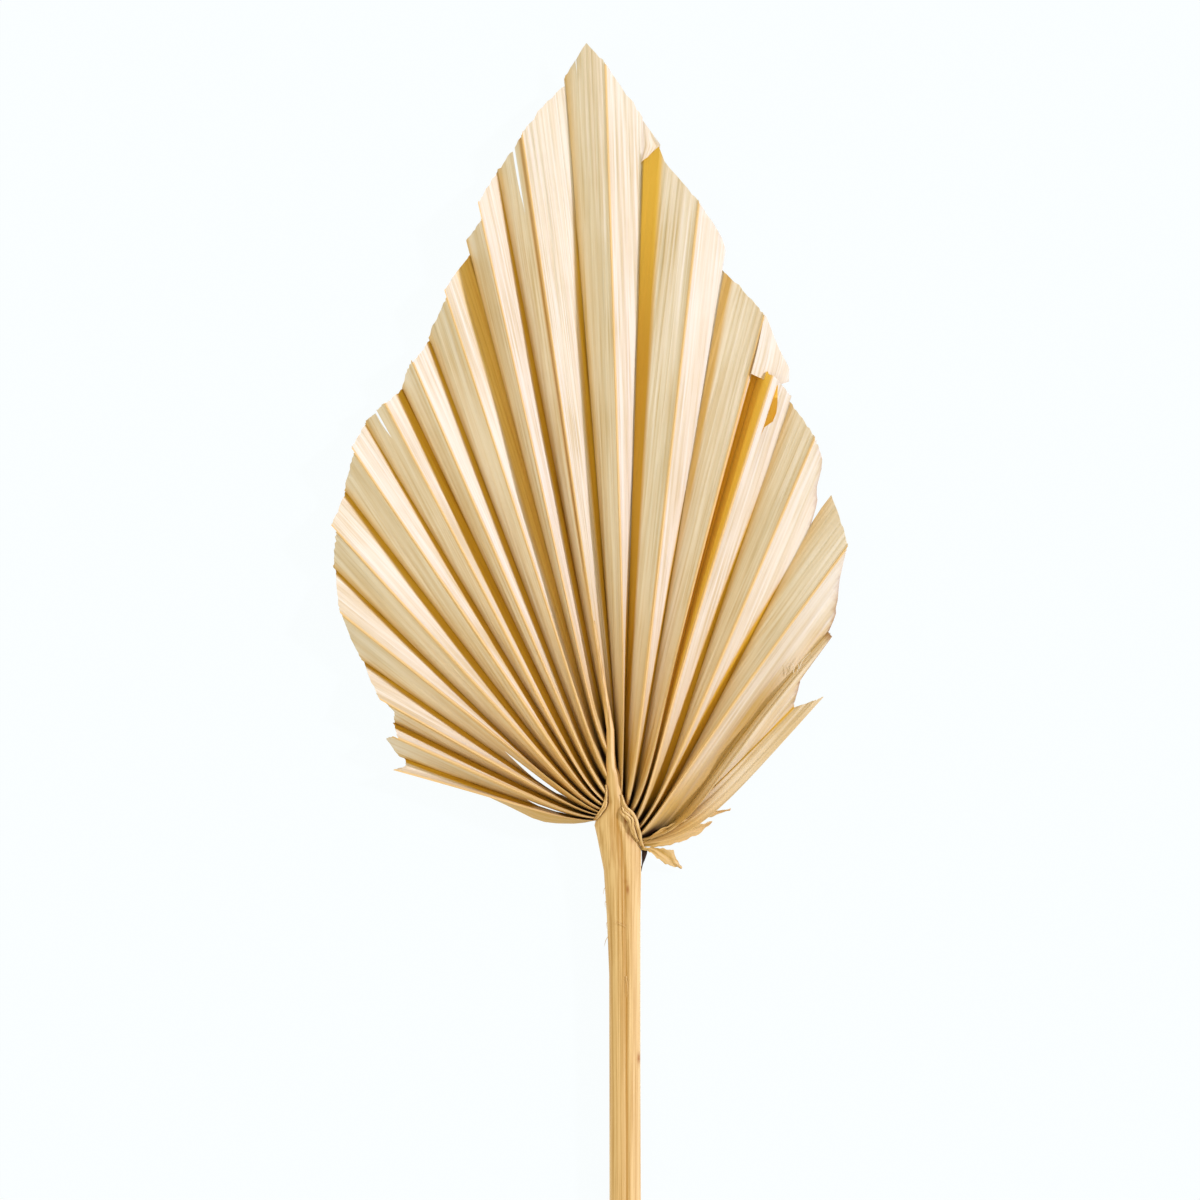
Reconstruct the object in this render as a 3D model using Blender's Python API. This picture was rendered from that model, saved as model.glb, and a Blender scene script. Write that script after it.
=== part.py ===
"""Dried fan palm leaf, trimmed to a spear shape, lying face up.

One grown leaf in two pieces: the stalk, whose tip runs on as a finger over the
foot of the fan, and the pleated blade with its torn scraps.

World frame: metres, Z up.  The leaf lies in the XY plane with its tip toward +Y
and its stalk toward -Y; the floor is z = 0.  Lengths below are millimetres,
measured from the hub, the point the folds fan out from.
"""

import math

import bmesh
import bpy
from mathutils import Vector

MM = 0.001

# ---------------------------------------------------------------- dimensions
LEAF_LENGTH = 420.0        # blade tip to the cut end of the stalk
TIP_REACH = 194.4          # hub to the blade's tip
STALK_END_Y = TIP_REACH - LEAF_LENGTH
HUB = (7.0, 15.7, 0.0)     # puts the origin under the middle of the whole leaf
STALK_THICKNESS = 6.4      # flattened round stalk
SECTION_POINTS = 24        # points round the stalk's section
SECTION_POWER = 2.4        # 2 is an ellipse; more is boxier
KEEL_SHIFT = 0.18          # the crown of the stalk sits right of its middle
CROWN = 0.62               # share of the stalk's thickness above its widest line

LAMINA = 0.55              # thickness of the dry blade, straight up and down
MID_HEIGHT = 4.35          # blade's middle surface above the floor
FOLD_DEPTH = 3.65          # half of the pleats' full depth
FOLD_GROWTH = 17.0         # distance over which the pleats open out from the stalk
FOLD_START = 1.5           # how far the pleats have opened by the stalk, as a distance
BEND_IN = 7.0              # distance over which a fold swings in to the stalk
BEND_IN_LOW_RIGHT = 14.0   # the same for the last fold on the right
EDGE_DROOP = 0.6           # how far the ridges sink at the sides
DROOP_POWER = 3            # how much of the droop stays near the sides
ROWS = 12                  # stations along each fold
ROW_BIAS = 1.7             # more stations near the stalk, where folds bend

# Stalk stations: y, middle x, width, bottom z, top z.
STALK_STATIONS = (
    (STALK_END_Y, 2.6, 8.3, 0.00, 6.40),
    (-170.0, 2.5, 8.2, 0.00, 6.40),
    (-110.0, 2.1, 8.1, 0.05, 6.45),
    (-70.0, 1.9, 8.0, 0.15, 6.55),
    (-45.0, 1.9, 8.1, 0.35, 6.80),
    (-30.0, 1.7, 8.6, 0.60, 7.20),
    (-20.0, 1.2, 9.6, 0.90, 7.60),
    (-13.0, 0.9, 10.9, 1.30, 8.00),
    (-8.0, 0.7, 10.8, 1.80, 8.25),
    (-4.0, 0.2, 8.6, 2.40, 8.40),
    (0.0, 0.0, 6.4, 3.20, 8.50),
    (4.0, -0.6, 4.6, 4.00, 8.45),
    (9.0, -1.4, 2.9, 4.90, 8.30),
    (13.0, -1.4, 1.9, 5.60, 8.00),
    (16.6, -1.4, 1.0, 6.20, 7.60),
)

# Folds, left to right: kind, angle and reach of its end from the hub, and the
# heading of its straight run.  +1 is a ridge, -1 a valley, others in between.
FOLDS = (
    (0.3, 172.0, 57.5, 165.0),
    (-0.9, 168.8, 56.2, 158.0),
    (1.0, 164.0, 59.5, 155.5),
    (-1.0, 160.9, 60.3, 152.5),
    (1.0, 157.0, 65.5, 149.0),
    (-1.0, 151.3, 74.4, 144.0),
    (1.0, 145.9, 85.2, 141.0),
    (-1.0, 140.7, 93.8, 135.5),
    (1.0, 136.1, 101.2, 132.2),
    (-1.0, 131.4, 105.6, 127.6),
    (1.0, 127.0, 112.5, 124.0),
    (-1.0, 123.8, 116.2, 121.2),
    (1.0, 120.3, 117.9, 117.6),
    (-1.0, 117.6, 119.0, 115.6),
    (1.0, 115.0, 124.0, 113.4),
    (-1.1, 112.2, 127.8, 111.0),
    (1.1, 108.7, 137.5, 108.0),
    (-1.1, 105.1, 146.5, 104.6),
    (1.0, 103.1, 155.0, 102.6),
    (-1.0, 100.8, 164.3, 101.0),
    (0.9, 98.1, 172.6, 98.3),
    (-0.9, 94.2, 183.0, 94.6),
    (0.8, 90.9, 188.4, 91.8),
    (-1.1, 86.2, 168.0, 87.0),
    (1.0, 82.2, 154.5, 83.6),
    (-1.0, 78.8, 142.0, 80.5),
    (0.9, 73.1, 129.6, 75.2),
    (-1.1, 70.0, 120.0, 72.4),
    (0.7, 68.4, 118.0, 71.8),
    (-0.8, 66.0, 112.0, 70.6),
    (0.9, 61.4, 105.6, 67.0),
    (-0.8, 54.9, 88.5, 61.6),
    (0.9, 47.8, 87.7, 55.0),
    (-0.5, 38.8, 69.5, 47.0),
    (0.4, 34.6, 54.0, 50.5),
    (-0.4, 27.3, 51.5, 45.5),
    (0.2, 26.0, 58.5, 47.5),
)

# Where the margin between two folds is not straight: after fold n, a point at
# this share of the way to the next fold, with its own reach.
MARGIN_POINTS = (
    (1, 0.72, 61.2),
    (20, 0.75, 180.0),
    (21, 0.58, TIP_REACH),
    (22, 0.40, 181.0),
    (24, 0.85, 147.0),
    (30, 0.55, 99.0),
    (31, 0.08, 95.5),
    (32, 0.60, 76.0),
)

# The fan's foot, as a line round the stalk's finger: left side, then right side.
FOOT_LEFT = ((-1.4, 17.9), (-3.0, 15.6), (-3.7, 9.2), (-4.3, 1.4), (-6.2, -3.0), (-7.5, -7.0))
FOOT_RIGHT = ((-1.4, 17.9), (0.2, 15.6), (1.1, 9.0), (3.2, 3.4), (4.7, -1.4), (6.7, -5.8),
              (7.3, -9.0), (7.3, -12.0))
MIDRIB_FOLD = 20           # the fold that carries on from the stalk's finger

# Torn scraps low on the right, beside the stalk: outline points and heights.
SCRAP_THICKNESS = 0.50
SCRAPS = (
    ("scrap_upper", ((7.8, -13.9, 5.0), (14.9, -12.2, 4.4), (21.2, -9.2, 3.6), (29.2, -4.4, 2.6),
                     (29.7, -3.6, 2.8), (24.5, -5.8, 4.2), (15.5, -10.2, 5.2), (7.8, -12.9, 5.4))),
    ("scrap_lower", ((7.8, -14.8, 3.4), (9.6, -15.2, 3.0), (12.3, -16.9, 2.2), (16.6, -17.9, 1.3),
                     (16.4, -15.8, 1.6), (14.6, -13.6, 2.5), (11.0, -13.4, 3.2), (7.8, -14.0, 3.8))),
)

COLORS = {
    "dry_stalk": (0.80, 0.58, 0.31, 1.0),
    "dry_blade": (0.87, 0.74, 0.50, 1.0),
}


# ------------------------------------------------------------------- helpers
def clear_scene():
    for obj in list(bpy.data.objects):
        bpy.data.objects.remove(obj, do_unlink=True)


def material(name):
    mat = bpy.data.materials.new(name)
    mat.use_nodes = True
    mat.diffuse_color = COLORS[name]
    shader = mat.node_tree.nodes["Principled BSDF"]
    shader.inputs["Base Color"].default_value = COLORS[name]
    shader.inputs["Roughness"].default_value = 0.62
    return mat


def add_object(name, bm, mat, collection):
    bmesh.ops.recalc_face_normals(bm, faces=bm.faces)
    mesh = bpy.data.meshes.new(name)
    bm.to_mesh(mesh)
    bm.free()
    mesh.materials.append(mat)
    obj = bpy.data.objects.new(name, mesh)
    obj.location = Vector(HUB) * MM
    collection.objects.link(obj)
    return obj


def along(points, share):
    """The point at this share of a broken line's length."""
    pts = [Vector(p) for p in points]
    lengths = [(b - a).length for a, b in zip(pts, pts[1:])]
    left = share * sum(lengths)
    for a, b, length in zip(pts, pts[1:], lengths):
        if left <= length:
            return a.lerp(b, left / length)
        left -= length
    return pts[-1]


# --------------------------------------------------------------------- stalk
def stalk_ring(bm, station):
    """One section of the stalk: flattened round, its crown right of the middle."""
    y, mid_x, width, bottom, top = station
    widest = top - (top - bottom) * CROWN
    ring = []
    for k in range(SECTION_POINTS):
        turn = 2.0 * math.pi * k / SECTION_POINTS
        c, s = math.cos(turn), math.sin(turn)
        x = math.copysign(abs(c) ** (2.0 / SECTION_POWER), c) * width / 2.0
        up = math.copysign(abs(s) ** (2.0 / SECTION_POWER), s)
        z = widest + up * ((top - widest) if up > 0 else (widest - bottom))
        x += KEEL_SHIFT * width / 2.0 * max(up, 0.0)
        ring.append(bm.verts.new((x * MM + mid_x * MM, y * MM, z * MM)))
    return ring


def build_stalk(collection):
    bm = bmesh.new()
    rings = [stalk_ring(bm, station) for station in STALK_STATIONS]
    for low, high in zip(rings, rings[1:]):
        for k in range(SECTION_POINTS):
            j = (k + 1) % SECTION_POINTS
            bm.faces.new((low[k], low[j], high[j], high[k]))
    bm.faces.new(rings[0])
    bm.faces.new(rings[-1])
    return add_object("petiole", bm, material("dry_stalk"), collection)


# --------------------------------------------------------------------- blade
def fold_foot(index):
    """Where a fold starts beside the stalk's finger."""
    if index <= MIDRIB_FOLD:
        return along(FOOT_LEFT, (MIDRIB_FOLD - index) / MIDRIB_FOLD)
    return along(FOOT_RIGHT, (index - MIDRIB_FOLD) / (len(FOLDS) - 1 - MIDRIB_FOLD))


def fold_point(index, share):
    """A point on a fold, from its foot (0) to its end at the margin (1)."""
    kind, angle, reach, heading = FOLDS[index]
    end = Vector((math.cos(math.radians(angle)), math.sin(math.radians(angle)))) * reach
    course = Vector((math.cos(math.radians(heading)), math.sin(math.radians(heading))))
    foot = fold_foot(index)
    run = (end - foot).dot(course)
    start = end - course * run
    s = share * run
    right = max(0, index - MIDRIB_FOLD) / (len(FOLDS) - 1 - MIDRIB_FOLD)
    bend = BEND_IN + (BEND_IN_LOW_RIGHT - BEND_IN) * right ** 2
    flat = start + course * s + (foot - start) * math.exp(-s / bend)
    depth = FOLD_DEPTH * (1.0 - math.exp(-(s + FOLD_START) / FOLD_GROWTH))
    z = MID_HEIGHT + kind * depth
    if kind > 0:
        z -= EDGE_DROOP * share * abs(math.cos(math.radians(angle))) ** DROOP_POWER
    return Vector((flat.x, flat.y, z))


def margin_point(index, share, reach):
    """A point between two folds' ends, moved out or in to its own reach."""
    a, b = fold_point(index, 1.0), fold_point(index + 1, 1.0)
    p = a.lerp(b, share)
    flat = Vector((p.x, p.y))
    flat *= reach / flat.length
    return Vector((flat.x, flat.y, p.z))


def build_blade(collection):
    bm = bmesh.new()
    shares = [(r / ROWS) ** ROW_BIAS for r in range(ROWS + 1)]
    columns = []
    for index in range(len(FOLDS)):
        columns.append([bm.verts.new(fold_point(index, t) * MM) for t in shares])
    extra = {n: (share, reach) for n, share, reach in MARGIN_POINTS}
    for n, (left, right) in enumerate(zip(columns, columns[1:])):
        last = ROWS - 1
        for r in range(last):
            bm.faces.new((left[r], right[r], right[r + 1], left[r + 1]))
        outer = [left[ROWS], right[ROWS]]
        if n in extra:
            tip = bm.verts.new(margin_point(n, *extra[n]) * MM)
            bm.faces.new((left[last], right[last], tip))
            bm.faces.new((left[last], tip, outer[0]))
            bm.faces.new((right[last], outer[1], tip))
        else:
            bm.faces.new((left[last], right[last], outer[1], outer[0]))
    thicken(bm, LAMINA)
    return add_object("blade", bm, material("dry_blade"), collection)


def thicken(bm, thickness):
    """Makes a sheet a closed solid, by this much straight up and down."""
    grown = bmesh.ops.extrude_face_region(bm, geom=list(bm.faces))
    top = [item for item in grown["geom"] if isinstance(item, bmesh.types.BMVert)]
    for vert in bm.verts:
        vert.co.z -= thickness * MM / 2.0
    bmesh.ops.translate(bm, verts=top, vec=(0.0, 0.0, thickness * MM))


def build_scrap(name, outline, collection):
    """A torn scrap: a fan of faces round its middle line, thickened."""
    bm = bmesh.new()
    verts = [bm.verts.new(Vector(p) * MM) for p in outline]
    half = len(verts) // 2
    for k in range(half - 1):
        a, b = verts[k], verts[k + 1]
        c, d = verts[-2 - k], verts[-1 - k]
        bm.faces.new((a, b, c, d))
    thicken(bm, SCRAP_THICKNESS)
    return add_object(name, bm, bpy.data.materials["dry_blade"], collection)


def main():
    clear_scene()
    collection = bpy.data.collections.new("fan_palm_leaf")
    bpy.context.scene.collection.children.link(collection)
    build_stalk(collection)
    build_blade(collection)
    for name, outline in SCRAPS:
        build_scrap(name, outline, collection)


main()
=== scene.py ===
"""Dried fan palm leaf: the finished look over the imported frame.

Laid out as an add-on and run as a script.  The leaf lies face up, its tip toward
+Y.  Lengths in the tables are millimetres from the hub, the point that the folds
fan out from; the meshes are in metres.
"""

import math
from collections import namedtuple

import bmesh
import bpy
import numpy as np
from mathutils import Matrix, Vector


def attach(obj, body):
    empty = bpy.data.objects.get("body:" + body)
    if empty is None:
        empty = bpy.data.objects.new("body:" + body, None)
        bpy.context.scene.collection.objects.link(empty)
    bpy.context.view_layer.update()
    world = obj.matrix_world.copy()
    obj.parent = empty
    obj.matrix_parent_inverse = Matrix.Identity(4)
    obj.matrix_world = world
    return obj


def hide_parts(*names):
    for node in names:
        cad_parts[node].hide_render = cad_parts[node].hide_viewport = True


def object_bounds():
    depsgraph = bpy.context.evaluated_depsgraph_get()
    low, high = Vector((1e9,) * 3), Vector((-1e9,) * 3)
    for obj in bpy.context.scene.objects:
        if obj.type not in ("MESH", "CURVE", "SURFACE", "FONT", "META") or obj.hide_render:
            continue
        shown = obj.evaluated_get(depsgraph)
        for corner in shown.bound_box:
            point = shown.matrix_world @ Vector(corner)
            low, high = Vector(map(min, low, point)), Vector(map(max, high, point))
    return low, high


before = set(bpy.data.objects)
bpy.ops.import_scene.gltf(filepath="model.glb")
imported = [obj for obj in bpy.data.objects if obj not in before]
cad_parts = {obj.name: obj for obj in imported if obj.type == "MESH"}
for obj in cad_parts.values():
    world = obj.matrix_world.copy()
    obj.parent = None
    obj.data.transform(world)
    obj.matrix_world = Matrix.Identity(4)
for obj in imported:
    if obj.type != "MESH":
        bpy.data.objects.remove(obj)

bl_info = {
    "name": "Fan Palm Leaf",
    "version": (1, 0, 0),
    "blender": (4, 5, 0),
    "location": "3D View > Sidebar > Palm Leaf",
    "description": "Builds a dried, trimmed fan palm leaf with its stage",
    "category": "Add Mesh",
}

MM = 0.001
CAD_LOW, CAD_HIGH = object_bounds()
HUB = ((CAD_LOW[0] + CAD_HIGH[0]) / 2 + 0.0070, (CAD_LOW[1] + CAD_HIGH[1]) / 2 + 0.0157, CAD_LOW[2])
Fold = namedtuple("Fold", "height angle before after run")

# Folds, left to right: height (ridges up, valleys down), angle of its end at the
# margin, reach there of the panel before it and of the panel after it, and the
# heading of its straight run.  Even rows are ridges, odd rows are valleys.
FOLDS = tuple(Fold(*row) for row in (
    (0.2, 172.2, 57.9, 57.9, 165.0),
    (-0.9, 168.8, 55.6, 56.9, 160.2),
    (1.0, 164.0, 59.5, 58.2, 156.0),
    (-1.0, 160.9, 60.8, 60.5, 153.8),
    (1.0, 157.0, 64.1, 65.9, 150.8),
    (-1.0, 151.3, 74.0, 74.9, 145.2),
    (1.0, 145.9, 85.1, 85.6, 141.6),
    (-0.9, 140.7, 93.3, 94.1, 135.5),
    (0.9, 136.1, 99.6, 101.5, 132.2),
    (-0.95, 131.4, 105.4, 105.9, 127.6),
    (1.0, 127.0, 111.5, 112.8, 124.0),
    (-0.77, 123.8, 115.9, 116.4, 121.2),
    (0.7, 120.3, 117.9, 117.7, 117.6),
    (-1.0, 117.6, 119.0, 119.2, 115.6),
    (0.9, 115.0, 124.1, 123.6, 113.4),
    (-1.15, 112.2, 127.4, 128.2, 111.0),
    (0.8, 108.7, 136.0, 137.9, 108.0),
    (-1.1, 105.1, 144.9, 148.7, 104.6),
    (1.4, 103.1, 152.6, 156.9, 102.6),
    (-1.1, 100.8, 164.1, 164.1, 101.0),
    (0.95, 98.1, 172.3, 172.6, 98.3),
    (-1.2, 94.2, 183.6, 185.4, 94.6),
    (1.25, 90.9, 188.5, 188.5, 91.8),
    (-0.35, 87.85, 175.2, 163.7, 88.3),
    (1.45, 82.2, 154.6, 154.4, 83.6),
    (-0.85, 78.8, 143.6, 138.7, 80.5),
    (0.7, 73.1, 129.9, 129.5, 75.2),
    (-1.05, 71.8, 123.6, 116.9, 73.7),
    (1.2, 69.9, 115.6, 116.0, 72.3),
    (-0.9, 66.6, 112.8, 111.3, 71.4),
    (0.9, 61.4, 105.9, 105.6, 67.0),
    (-1.1, 54.9, 86.7, 86.2, 62.2),
    (1.2, 47.8, 87.9, 87.4, 53.5),
    (-0.95, 38.8, 69.5, 69.3, 47.5),
    (0.6, 37.5, 69.1, 69.1, 48.0),
    (-0.35, 27.4, 51.3, 51.3, 45.5),
    (0.2, 26.7, 59.2, 59.2, 47.5),
))

# Where a panel's margin isn't straight: panel, then share across and reach.
MARGINS = {
    0: ((0.5, 54.9),),
    1: ((0.72, 61.3),),
    3: ((0.75, 61.5),),
    8: ((0.62, 103.6),),
    13: ((0.6, 122.5),),
    19: ((0.70, 169.2),),
    20: ((0.72, 180.8),),
    21: ((0.33, 190.3), (0.56, 194.4)),
    22: ((0.38, 183.0), (0.75, 178.4)),
    23: ((0.285, 168.0), (0.30, 165.2), (0.40, 163.7), (0.7, 158.9)),
    24: ((0.82, 146.9),),
    26: ((0.5, 126.5),),
    30: ((0.48, 101.8), (0.64, 94.9), (0.86, 92.3)),
    31: ((0.07, 95.6),),
    32: ((0.33, 80.3), (0.82, 73.8)),
    34: ((0.2, 56.3), (0.45, 54.0)),
}

# Splits through the sheet: panel, share of the way from its ridge to its valley where
# the opening begins, where it starts and ends along the folds, and its greatest width.
SPLITS = (
    (1, 0.12, 9.5, 18.8, 0.85),
    (5, 0.30, 11.0, 29.5, 1.05),
    (11, 0.34, 110.0, 124.0, 0.6),
    (19, 0.26, 136.0, 166.0, 0.7),
    (21, 0.66, 182.0, 200.0, 0.35),
    (28, 0.22, 106.5, 117.8, 2.1),
)

# Panels with a painted amber glow that stands in for light coming through from behind: the share across
# where that starts, and how much.
AMBER_GLOW = {16: (0.5, 0.4), 26: (0.55, 0.8), 27: (-0.2, 1.0)}

# Panels whose painted shade isn't the usual one: softness of its edge, and how much honey colour is painted
# into it as shade.
SHADE = {16: (0.2, 0.8), 32: (0.9, 0.7)}

# Panels whose margin is torn: how brown the tear is at the left fold and at the right one.
TORN = {30: (0.0, 0.6), 32: (0.0, 0.9), 33: (0.9, 0.9), 34: (0.9, 0.3)}

# Folds that flatten toward the margin: their height there, against the table's.
FLATTEN = {3: 0.8, 5: 0.7, 7: 0.8, 9: 0.75, 11: 0.7, 13: 0.8, 15: 0.75, 17: 0.8, 19: 0.55, 20: 0.75,
           21: 0.35, 22: 0.65, 24: 0.85, 25: 0.8, 26: 0.85, 29: 0.6, 31: 0.7, 33: 0.7, 34: 0.25}

# Panels that belly up (or sag), against their width.
BELLY = {20: 0.03, 21: 0.05, 22: -0.03, 23: 0.02, 25: 0.03, 26: 0.0, 32: -0.14, 34: 0.0}

# Folds that rise and fall along their length: share of the height, wavelength, first crest.
SWELL = {34: (0.3, 18.0, 36.0), 18: (0.06, 50.0, 20.0), 22: (0.05, 70.0, 60.0)}

# Torn ridges that carry no rib, only a bare edge.
BARE = (34, 36)

# Where each ridge meets the stalk; a valley's foot lies midway between its neighbours'.
FEET = (
    (-4.6, -5.2), (-4.5, -4.6), (-4.1, -4.0), (-3.6, -3.4), (-3.1, -2.7), (-2.7, -1.8), (-2.3, -0.9),
    (-2.0, 0.8), (-2.0, 5.6), (-2.0, 12.2), (-1.6, 19.0), (1.1, 1.6), (2.6, -1.2), (3.6, -3.1),
    (4.7, -5.5), (5.2, -7.7), (5.5, -9.2), (5.9, -10.3), (6.1, -11.2),
)

# Folds that leave their straight run near the stalk: how far to their right, in mm.
BOW = {0: -0.7, 26: 1.2, 27: 2.2, 28: 1.6, 29: 0.7, 30: -0.2, 31: 0.3, 32: 1.0, 33: 4.0, 34: 4.2,
       35: 1.0, 36: 1.2}

# Distance over which a fold swings in to its foot, where that isn't the usual one.
SWING = {21: 12.0, 22: 20.0, 32: 13.0, 33: 12.0, 34: 12.0, 35: 24.0, 36: 11.0}

MIDRIB = 20           # the ridge that carries on from the stalk's finger
TORN_RIDGE = 28       # the ridge whose torn top shows the steep panel beside it
# the banded panel's honey band is painted shade
BANDED = 25           # the panel with a honey band beside its valley
# the half-amber panel's glow is painted, and only where it lies in shade
HALF_AMBER = 26       # the panel that glows only where it lies in shade
CRIMPED = 23          # the panel that is bent along a knee, so that its far part stands on edge
CRIMP = 0.70          # share across it where the knee is
# the hollow panel's shade is painted into it
HOLLOW = 32           # the panel that sags into a shaded hollow beside the flap
FLAP = 33             # the first fold and panel of the torn flap low on the right

BOW_PEAK = 14.0       # distance along a fold where its bow is widest
UPRIGHT = 45.0        # distance over which a fold goes from full height to the table's
UPRIGHT_FLAP = 26.0   # the same for the flap's folds
FLATTEN_FROM = 0.45   # share of a fold's reach where it begins to flatten
FOOT_LIFT = 12.0      # distance over which the folds rise to the stalk
FOOT_DIP = 2.2        # distance over which the ridges dip under the stalk's skin
RIB_FADE = 35.0       # distance over which a rib loses the width that it has at the stalk
RIB_SHARE = 0.46      # the most of a narrow panel that a rib may take
RIB_RISE = 0.75       # a rib's height against its half width
RIDGE_ROUND = 0.55    # a ridge's rounding against its rib's half width
RAGGED = 0.16         # unevenness of the trimmed margin, in mm
RIPPLE = 0.05         # height of the dry sheet's ripples, in mm
NO_SHADE = 1.2        # a shade's edge that lies past the valley, so that none falls
TINY = 1e-6
TURN = 6.28           # a full turn, for phases drawn at random
BOXY = 0.72           # roundness of the stalk's section: 1 is an ellipse, less is boxier
KEEL = 0.35           # rise of the stalk's keel, and depth of the groove along it, in mm
STRIP_GRAIN = 25.0    # length of grain along a loose strip, in mm
STRIP_NUMBER = 40.0   # panel number that loose strips carry, past the panels' own
WELD = 2000           # points that agree to one part of a millimetre in this many are one
ROWS = 92             # stations along each fold
ROW_BIAS = 1.25       # more of them near the stalk, where the folds bend
LONGEST = 200.0       # the last station
FACE_ORDER = Vector((1.0, 3.7, 11.3))  # direction in which the faces are numbered, the same each run

SUN_AZIMUTH = 20.0
SUN_ELEVATION = 30.0
KEY_SUN = {"energy": 2.54, "spread": 4.0, "tint": (0.93, 0.955, 1.16), "azimuth": SUN_AZIMUTH,
           "elevation": SUN_ELEVATION}
FILL_SUN = {"energy": 1.02, "spread": 50.0, "tint": (0.95, 0.85, 0.43), "azimuth": 190.0, "elevation": 50.0}
SKY = (1.0, 0.96, 0.84, 1.0)
SKY_STRENGTH = 0.62
TABLE_HALF = 3.0            # metres
TABLE_GAP = 0.0002          # air between the leaf and the table
LENS, SENSOR = 176.0, 36.0  # camera, in mm
VIEW_SPAN = 0.3077          # metres that the view takes in, at VIEW_HEIGHT above the hub
VIEW_HEIGHT = 0.005
VIEW_CENTRE = (-0.00436, 0.05128)

# Stalk stations: y, left x, right x, bottom z, top z.
STALK = (
    (-225.6, -1.7, 6.2, 0.00, 6.40),
    (-170.0, -1.75, 6.1, 0.00, 6.40),
    (-110.0, -1.9, 6.15, 0.00, 6.45),
    (-70.0, -1.95, 6.0, 0.10, 6.55),
    (-45.0, -2.0, 6.0, 0.30, 6.80),
    (-30.0, -2.6, 6.0, 0.60, 7.20),
    (-18.0, -3.4, 6.2, 0.95, 7.70),
    (-13.0, -4.4, 6.2, 1.30, 8.00),
    (-11.0, -4.8, 6.1, 1.40, 8.05),
    (-8.5, -5.3, 5.7, 1.60, 8.15),
    (-6.5, -5.8, 4.9, 1.80, 8.25),
    (-4.6, -5.3, 4.2, 2.20, 8.35),
    (-2.5, -3.6, 3.3, 2.60, 8.45),
    (-0.5, -2.4, 2.3, 3.00, 8.60),
    (1.5, -2.6, 1.5, 3.20, 8.70),
    (4.0, -2.8, 1.2, 3.80, 8.75),
    (6.8, -2.8, 0.8, 4.40, 8.75),
    (8.4, -2.8, -0.1, 4.70, 8.75),
    (12.0, -2.8, -0.5, 5.20, 8.65),
    (18.0, -2.7, -0.7, 6.00, 8.65),
    (25.0, -3.6, -2.0, 6.40, 8.60),
    (33.0, -4.6, -3.4, 6.80, 8.60),
    (46.0, -6.4, -5.6, 7.30, 8.50),
)

# Scars on the stalk: x, y, half width, half length, darkness.
SCARS = (
    (5.6, -66.2, 0.45, 1.3, 0.9),
    (2.7, -22.8, 0.35, 1.1, 1.0),
    (2.3, -20.8, 0.5, 0.5, 0.5),
    (2.2, -5.2, 0.5, 1.1, 0.9),
    (2.9, -8.2, 0.4, 1.6, 0.8),
    (3.9, -9.8, 0.4, 1.2, 0.6),
    (-2.6, -0.6, 0.5, 0.8, 0.6),
    (-3.4, -2.4, 0.6, 0.5, 0.5),
    (0.9, -2.4, 0.4, 1.5, 0.4),
    (0.3, 7.6, 0.3, 0.8, 0.5),
    (-1.3, -12.0, 0.25, 2.4, 0.35),
    (0.6, -14.5, 0.2, 3.0, 0.35),
)

# Crumpled crests where the ribs run into the stalk: points, strands, half width, spread.
CRESTS = {
    "crest_right": (
        ((0.9, 1.6, 8.0), (1.5, -0.4, 8.4), (2.1, -1.9, 8.7), (3.3, -3.4, 8.7), (4.3, -5.2, 8.4),
         (4.9, -7.2, 8.1), (5.6, -9.0, 7.6), (6.3, -11.2, 7.0), (6.9, -12.4, 6.4)), 3, 0.42, 0.8),
    "crest_lobe": (
        ((1.1, -1.6, 8.3), (1.3, -3.0, 8.9), (2.4, -3.9, 9.2), (3.5, -5.0, 8.9), (3.8, -6.6, 8.5),
         (4.4, -8.6, 8.1), (5.3, -10.6, 7.5)), 3, 0.34, 0.7),
    "crest_left": (
        ((-2.9, 4.0, 7.7), (-2.7, 1.4, 8.0), (-2.9, -0.6, 8.0), (-3.5, -2.0, 7.8), (-4.4, -3.2, 7.4),
         (-5.3, -4.4, 7.0), (-6.0, -5.2, 6.4)), 4, 0.22, 0.42),
}

# Loose fibres: points, then the half thickness.
PALE_FIBRES = (
    (((46.6, 33.6, 5.0), (47.4, 35.6, 5.6), (49.6, 37.9, 6.0)), 0.14),
    (((45.2, 32.6, 5.0), (45.4, 34.2, 5.6), (44.6, 35.6, 6.0)), 0.13),
    (((46.2, 32.9, 5.0), (46.6, 34.4, 5.4), (46.0, 35.4, 5.8)), 0.10),
)
STALK_HAIRS = (
    (((-2.7, -22.0, 5.0), (-3.3, -22.8, 5.2), (-3.5, -24.2, 5.2)), 0.07),
    (((-2.6, -25.5, 5.0), (-3.1, -26.4, 5.1), (-3.0, -27.6, 5.1)), 0.07),
    (((-2.3, -35.0, 4.6), (-2.9, -36.0, 4.9), (-3.3, -37.6, 4.8)), 0.07),
    (((-2.2, -31.0, 4.6), (-2.7, -31.6, 4.9), (-2.6, -33.0, 4.8)), 0.06),
    (((-0.4, -31.2, 7.1), (1.0, -31.7, 7.3), (2.6, -32.6, 7.2)), 0.08),
    (((2.4, -45.0, 6.9), (2.6, -47.6, 7.0), (2.5, -50.5, 6.9)), 0.08),
)
# The dark splinter beside the stalk.
SPLINTER = ((6.4, -11.8, 4.4), (7.1, -13.2, 4.2), (6.8, -15.2, 4.0), (6.4, -17.0, 3.8), (6.1, -18.4, 3.7))

# The hem that hangs below the lowest fold on the left: its outer edge, stalk outward.
HEM = (
    (-5.6, -5.2, 5.6), (-8.2, -5.8, 4.9), (-11.0, -6.1, 4.4), (-15.3, -6.05, 4.0), (-18.5, -5.7, 3.9),
    (-21.7, -4.7, 3.9), (-24.9, -3.1, 4.1), (-28.1, -1.5, 4.4), (-31.3, 0.0, 4.7), (-34.5, 1.5, 5.0),
    (-38.0, 3.0, 5.3),
)

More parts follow.
